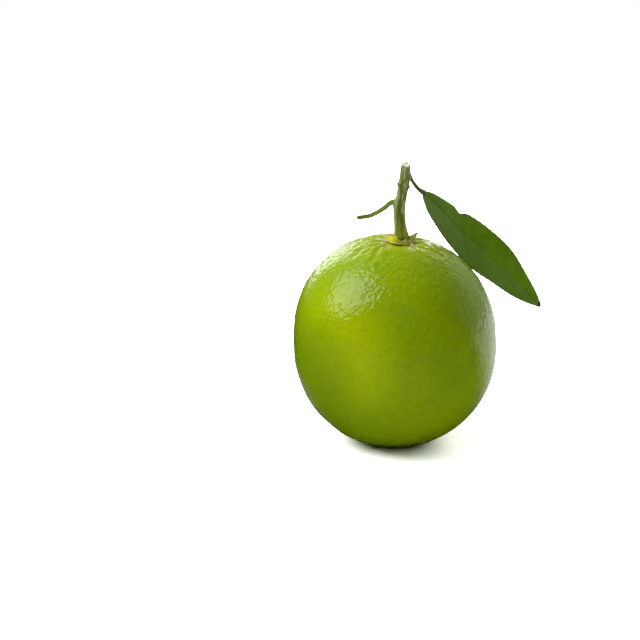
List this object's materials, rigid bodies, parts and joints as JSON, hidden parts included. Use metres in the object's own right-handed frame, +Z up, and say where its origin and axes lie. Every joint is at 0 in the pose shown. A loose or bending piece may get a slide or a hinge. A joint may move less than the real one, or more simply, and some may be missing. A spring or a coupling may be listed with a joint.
{
  "type": "lime",
  "caption": "Whole green lime with dimpled glandular peel, a yellow star-shaped calyx, a short cut twig with a bare leaf stalk, and a hanging leaf with a notched margin.",
  "frame": {"origin": "centre of the small flat spot on the blossom end that the lime rests on", "axes": "+Z up from the resting surface to the stem end, +X towards the side where the leaf hangs, so that the usual view looks along +Y"},
  "size_m": [0.0731, 0.058, 0.0809],
  "materials": {
    "lime_peel": "waxy yellow-green citrus peel with fine oil-gland pits, semi-gloss",
    "calyx_skin": "matte yellow to olive dried calyx",
    "twig_bark": "green young bark with fine lengthwise ridges, matte, pale dry cut end",
    "leaf_stalk_skin": "smooth dark green leaf stalk, satin",
    "leaf_blade": "leathery deep green leaf, satin above, paler and matte below"
  },
  "bodies": {
    "root": {"fruit": "lime_peel", "calyx": "calyx_skin", "stem": "twig_bark", "bare_leaf_stalk": "leaf_stalk_skin", "leaf_stalk": "leaf_stalk_skin", "leaf": "leaf_blade"}
  },
  "joints": []
}
